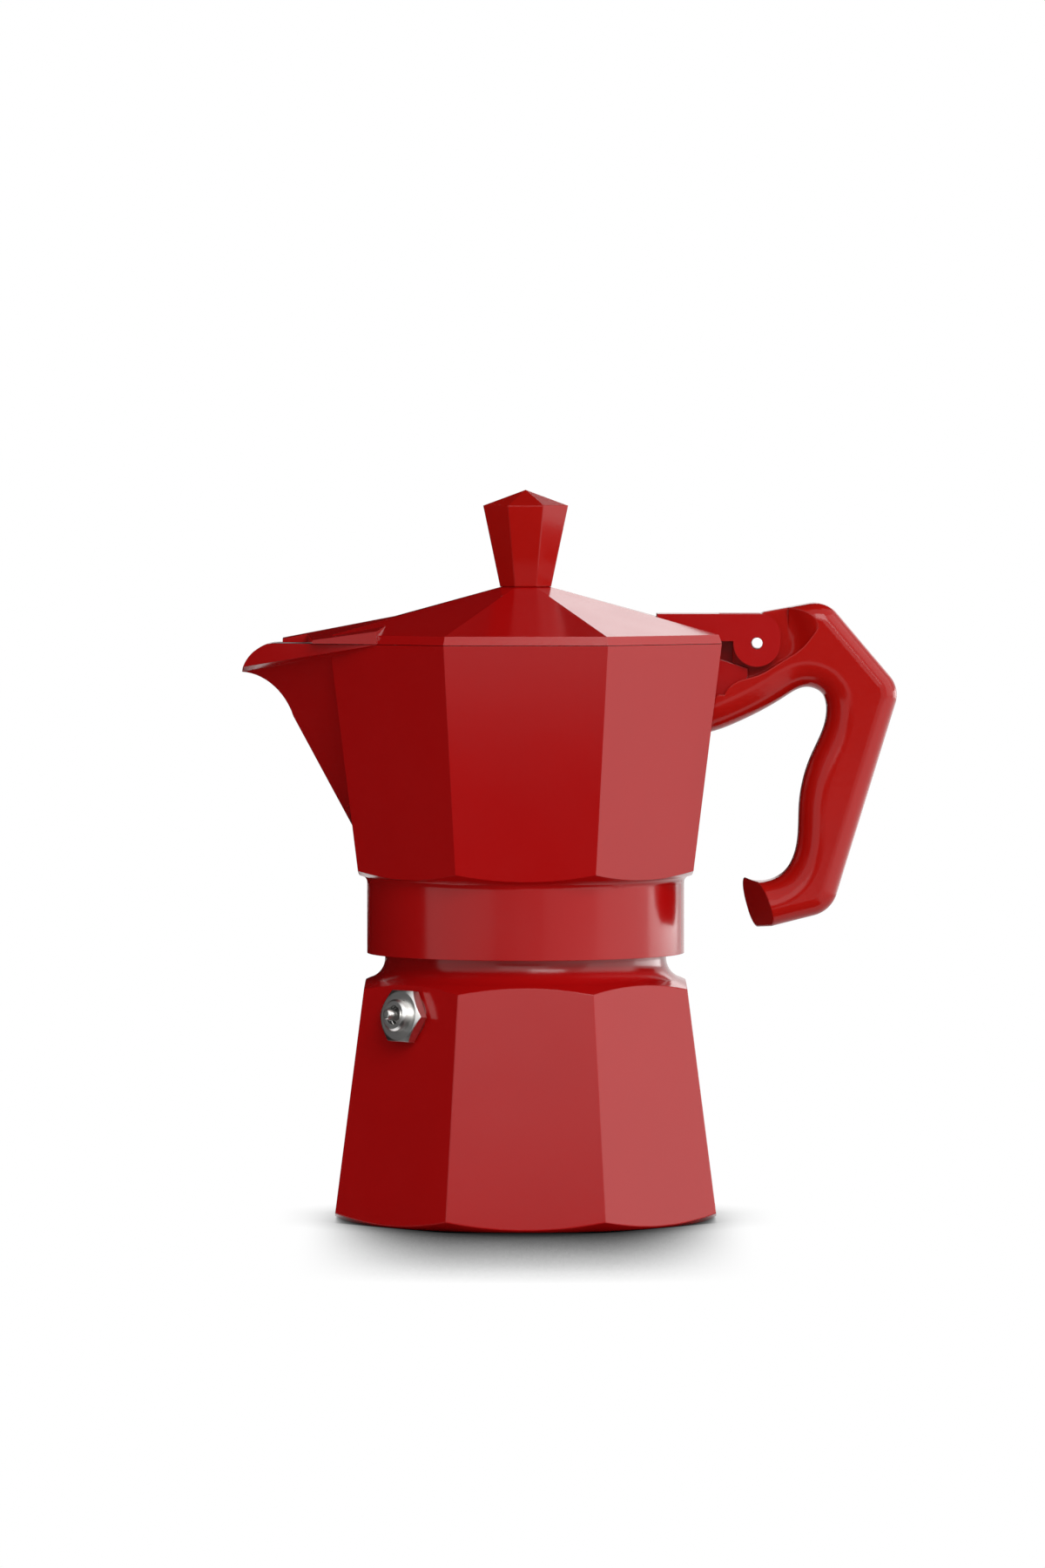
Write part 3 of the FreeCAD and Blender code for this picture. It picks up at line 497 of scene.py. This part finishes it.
# %% [markdown]
# ## Light
# Glossy red enamel shows what stands round it. A photographer places soft boxes where a facet
# should shine and black cards where it should stay deep red. We do the same. A sun lamp would be
# quicker, but its hard edge would show in every facet. The boxes come first. The fill behind the
# pot lights its back and is hidden from reflections.

# %% Soft boxes
def softbox(name, spot, aim, width, height, brightness):
    light = bpy.data.lights.new(name, "AREA")
    light.shape = "RECTANGLE"
    light.size = width
    light.size_y = height
    light.energy = brightness * math.pi * width * height
    lamp = bpy.data.objects.new(name, light)
    lamp.location = spot
    lamp.rotation_euler = (Vector(aim) - Vector(spot)).to_track_quat("-Z", "Y").to_euler()
    lamp.visible_camera = False
    bpy.context.scene.collection.objects.link(lamp)
    return lamp


pot_middle = (0.0, 0.0, 0.08)
softbox("right_box", (1.35, -0.35, 0.62), pot_middle, 1.4, 1.3, 1.3)
softbox("key_box", (0.45, -1.35, 1.0), pot_middle, 0.8, 0.8, 5.8)
softbox("front_box", (-0.05, -1.7, 0.62), pot_middle, 1.3, 0.6, 1.0)
softbox("back_box", (0.52, 1.5, 0.72), pot_middle, 0.9, 0.42, 1.1)
fill = softbox("back_fill", (-0.5, 1.5, 0.5), pot_middle, 1.0, 1.0, 2.2)
fill.visible_glossy = False
print("soft boxes placed")

# %% [markdown]
# The cards are seen by reflections only, so they shape the gloss without taking light away from
# the table. Two of them glow: one lies at the right for the right-hand facets, and one stands
# behind it for the bright strip at the edge of the collar.

# %% Cards
def card_finish(name, brightness):
    """Dull card that is black, or glows with a given brightness."""
    material = bpy.data.materials.new(name)
    material.use_nodes = True
    shader = material.node_tree.nodes["Principled BSDF"]
    shader.inputs["Base Color"].default_value = (0.004, 0.004, 0.004, 1.0)
    shader.inputs["Roughness"].default_value = 1.0
    shader.inputs["Specular IOR Level"].default_value = 0.0
    shader.inputs["Emission Color"].default_value = (1.0, 1.0, 1.0, 1.0)
    shader.inputs["Emission Strength"].default_value = brightness
    return material


def card(name, corners, material):
    made = sheet(name, corners, material)
    made.visible_camera = False
    made.visible_diffuse = False
    made.visible_shadow = False
    made.visible_transmission = False
    return made


def upright(x0, y0, x1, y1, low, high):
    return [(x0, y0, low), (x1, y1, low), (x1, y1, high), (x0, y0, high)]


def lying(x0, y0, x1, y1):
    height = 1 * mm
    return [(x0, y0, height), (x1, y0, height), (x1, y1, height), (x0, y1, height)]


black = card_finish("card_black", 0.0)
bright = card_finish("card_bright", 1.9)
card("left_card", upright(-0.34, -0.1, -0.34, 1.2, 0.0, 1.6), black)
card("left_table_card", lying(-0.34, -0.7, -0.07, 1.6), black)
card("front_table_card", lying(-0.25, -0.46, 0.12, -0.05), black)
card("front_card", upright(-0.9, -2.1, 0.5, -2.1, 0.0, 0.32), black)
card("back_card", upright(-1.6, 1.7, 0.02, 1.7, 0.0, 3.2), black)
card("top_card", [(-1.6, 1.72, 0.98), (1.2, 1.72, 0.98), (1.2, 0.3, 2.6), (-1.6, 0.3, 2.6)], black)
card("overhead_card", [(-0.8, -0.5, 2.6), (0.8, -0.5, 2.6), (0.8, 0.3, 2.6), (-0.8, 0.3, 2.6)], black)
card("right_table_card", lying(0.25, -0.6, 1.2, 0.6), bright)
card("right_back_card", upright(1.28, 0.22, 0.78, 1.04, 0.0, 0.25), card_finish("card_strip", 5.0))
print("cards placed")

# %% [markdown]
# ## Camera
# The photograph was taken from just above the lid with a long lens, looking straight at the front
# facet. Its place, lens and tilt were fitted until the pot's outline met the photograph's.

# %% Camera
camera_place = (-0.0007, -1.927, 0.163)
camera_tilt = math.radians(90 - 1.976)
lens = bpy.data.cameras.new("camera")
lens.sensor_fit = "VERTICAL"
lens.sensor_height = 36.0
lens.lens = 198.9
camera = bpy.data.objects.new("camera", lens)
camera.location = camera_place
camera.rotation_euler = (camera_tilt, 0.0, 0.0)
bpy.context.scene.collection.objects.link(camera)
bpy.context.scene.camera = camera
bpy.context.scene.view_settings.view_transform = "Standard"
print("camera ready")
